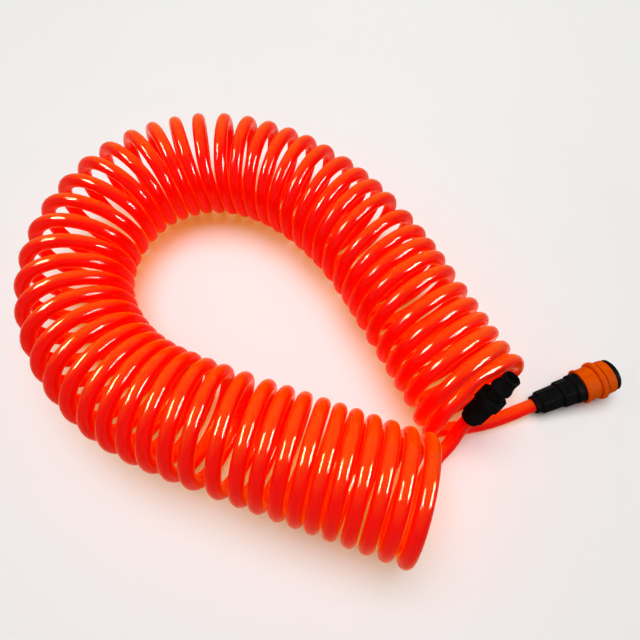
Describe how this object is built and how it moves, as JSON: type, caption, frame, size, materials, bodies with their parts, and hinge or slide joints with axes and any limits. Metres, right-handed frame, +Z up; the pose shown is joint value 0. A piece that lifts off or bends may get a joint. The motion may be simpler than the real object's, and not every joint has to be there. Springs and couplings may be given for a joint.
{
  "type": "coiled air hose",
  "caption": "Coiled polyurethane air hose lying in an open arch, with a quick-release socket at one end and a matching plug at the other.",
  "frame": {"origin": "middle of the part's outer box in plan, on the surface it lies on", "axes": "+Z up from that surface; +X along the longest extent, towards the end where both fittings lie; +Y across, from the plug's leg of the arch to the socket's leg"},
  "size_m": [0.5446, 0.4228, 0.098],
  "materials": {
    "hose": "glossy, slightly see-through polyurethane",
    "black_plastic": "satin moulded",
    "orange_plastic": "satin moulded",
    "white_plastic": "natural acetal",
    "spring_steel": "bright drawn wire and sheet",
    "seal_rubber": "matt"
  },
  "bodies": {
    "hose_and_fittings": {"hose_coil": "hose", "hose_end_socket": "hose", "hose_end_plug": "hose", "socket_collet": "spring_steel", "socket_adapter": "black_plastic", "adapter_seal": "seal_rubber", "socket_shell": "black_plastic", "valve_guide": "black_plastic", "valve_spring": "spring_steel", "plug_seal": "seal_rubber", "collar_spring": "spring_steel", "front_ring": "black_plastic", "plug_collet": "spring_steel", "plug_body": "black_plastic"},
    "collar": {"release_collar": "orange_plastic"},
    "claw_1": {"lock_claw_1": "black_plastic"},
    "claw_2": {"lock_claw_2": "black_plastic"},
    "claw_3": {"lock_claw_3": "black_plastic"},
    "claw_4": {"lock_claw_4": "black_plastic"},
    "valve": {"valve_poppet": "white_plastic", "valve_seal": "seal_rubber"},
    "socket_ring": {"socket_thrust_ring": "white_plastic"},
    "socket_nut_body": {"socket_nut": "black_plastic"},
    "plug_ring": {"plug_thrust_ring": "white_plastic"},
    "plug_nut_body": {"plug_nut": "black_plastic"}
  },
  "joints": [
    {"name": "collar_slide", "type": "slide", "parent": "hose_and_fittings", "child": "collar", "axis": [-0.9327, -0.3395, -0.1219], "range_m": [0, 0.005], "stiffness_N_per_m": 800, "springref_m": -0.008, "deforming": ["collar_spring"]},
    {"name": "claw_1_lift", "type": "slide", "parent": "hose_and_fittings", "child": "claw_1", "axis": [-0.2701, 0.8813, -0.3878], "range_m": [0, 0.0008]},
    {"name": "claw_2_lift", "type": "slide", "parent": "hose_and_fittings", "child": "claw_2", "axis": [-0.2391, 0.3288, 0.9136], "range_m": [0, 0.0008]},
    {"name": "claw_3_lift", "type": "slide", "parent": "hose_and_fittings", "child": "claw_3", "axis": [0.2701, -0.8813, 0.3878], "range_m": [0, 0.0008]},
    {"name": "claw_4_lift", "type": "slide", "parent": "hose_and_fittings", "child": "claw_4", "axis": [0.2391, -0.3288, -0.9136], "range_m": [0, 0.0008]},
    {"name": "valve_slide", "type": "slide", "parent": "hose_and_fittings", "child": "valve", "axis": [-0.9327, -0.3395, -0.1219], "range_m": [0, 0.003], "stiffness_N_per_m": 500, "springref_m": -0.004, "deforming": ["valve_spring"]},
    {"name": "socket_ring_slide", "type": "slide", "parent": "hose_and_fittings", "child": "socket_ring", "axis": [-0.9327, -0.3395, -0.1219], "range_m": [0, 0.006]},
    {"name": "socket_nut_turn", "type": "hinge", "parent": "socket_ring", "child": "socket_nut_body", "pos_m": [0.20516, -0.07676, 0.01196], "axis": [-0.9327, -0.3395, -0.1219], "range_deg": [0, 1440]},
    {"name": "plug_ring_slide", "type": "slide", "parent": "hose_and_fittings", "child": "plug_ring", "axis": [-0.3716, -0.3346, -0.866], "range_m": [0, 0.006]},
    {"name": "plug_nut_turn", "type": "hinge", "parent": "plug_ring", "child": "plug_nut_body", "pos_m": [0.13215, -0.09482, 0.04632], "axis": [-0.3716, -0.3346, -0.866], "range_deg": [0, 1440]}
  ],
  "couplings": [
    {"joint": "claw_1_lift", "follows": "collar_slide", "ratio": 0.16},
    {"joint": "claw_2_lift", "follows": "collar_slide", "ratio": 0.16},
    {"joint": "claw_3_lift", "follows": "collar_slide", "ratio": 0.16},
    {"joint": "claw_4_lift", "follows": "collar_slide", "ratio": 0.16},
    {"joint": "socket_ring_slide", "follows": "socket_nut_turn", "m_per_rad": 0.00023873},
    {"joint": "plug_ring_slide", "follows": "plug_nut_turn", "m_per_rad": 0.00023873}
  ]
}
